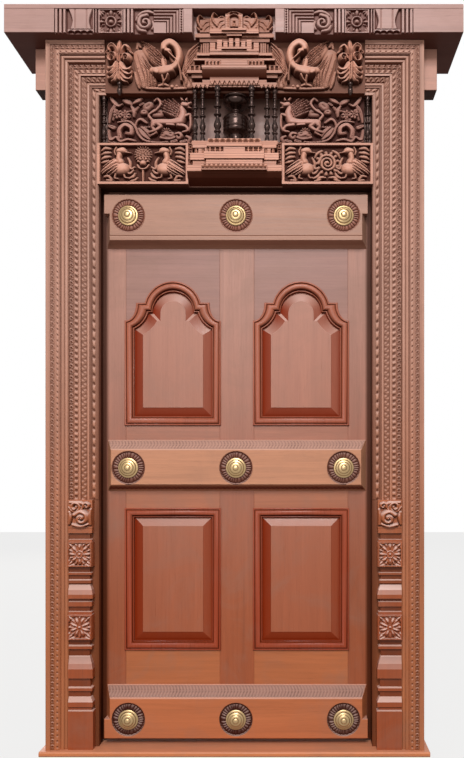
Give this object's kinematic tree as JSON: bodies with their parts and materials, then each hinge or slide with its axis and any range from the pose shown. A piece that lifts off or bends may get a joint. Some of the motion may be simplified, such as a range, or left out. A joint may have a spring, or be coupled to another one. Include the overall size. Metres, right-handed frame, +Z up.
{
  "type": "carved temple door with frame",
  "caption": "Single teak door leaf with raised arched panels, battens and brass bosses, hung in a carved South Indian temple-style frame with a carved transom and cornice.",
  "frame": {"origin": "middle of the doorway on the underside of the sill, under the front plane of the outer carved facing", "axes": "+X to the right seen from outside, +Y from the outside to the inside, +Z up"},
  "size_m": [1.584, 0.262, 2.606],
  "materials": {
    "teak": "satin",
    "dark_teak": "satin",
    "brass": "polished",
    "black_lacquer": "gloss",
    "hinge_steel": "satin"
  },
  "bodies": {
    "frame": {"sill": "teak", "left_post": "teak", "right_post": "teak", "head_beam": "teak", "lintel": "teak", "transom_board": "dark_teak", "cornice": "teak", "left_facing": "teak", "right_facing": "teak", "head_facing": "teak", "left_foot": "teak", "right_foot": "teak", "left_leaf_bracket": "teak", "right_leaf_bracket": "teak", "left_bird": "teak", "right_bird": "teak", "shrine_canopy": "teak", "shrine_crown": "teak", "shrine_base": "teak", "left_beast_panel": "teak", "right_beast_panel": "teak", "left_duck_panel": "teak", "right_duck_panel": "teak", "centre_post": "black_lacquer", "left_inner_colonnette": "black_lacquer", "right_inner_colonnette": "black_lacquer", "left_mid_colonnette": "black_lacquer", "right_mid_colonnette": "black_lacquer", "left_outer_colonnette": "black_lacquer", "right_outer_colonnette": "black_lacquer", "left_end_colonnette": "black_lacquer", "right_end_colonnette": "black_lacquer", "left_pendant": "black_lacquer", "right_pendant": "black_lacquer", "frame_hinge_plates": "hinge_steel", "hinge_pins": "hinge_steel"},
    "leaf": {"left_stile": "teak", "right_stile": "teak", "muntin": "teak", "left_top_rail": "teak", "right_top_rail": "teak", "left_middle_rail": "teak", "right_middle_rail": "teak", "left_bottom_rail": "teak", "right_bottom_rail": "teak", "left_arched_panel": "teak", "right_arched_panel": "teak", "left_lower_panel": "teak", "right_lower_panel": "teak", "left_arched_bead": "teak", "right_arched_bead": "teak", "left_lower_bead": "teak", "right_lower_bead": "teak", "top_batten": "teak", "middle_batten": "teak", "bottom_batten": "teak", "rosettes": "dark_teak", "bosses": "brass", "leaf_hinge_plates": "hinge_steel"}
  },
  "joints": [
    {"name": "leaf_swing", "type": "hinge", "parent": "frame", "child": "leaf", "pos_m": [-0.4965, 0.134, 1.02], "axis": [0, 0, 1], "range_deg": [0, 100]}
  ]
}
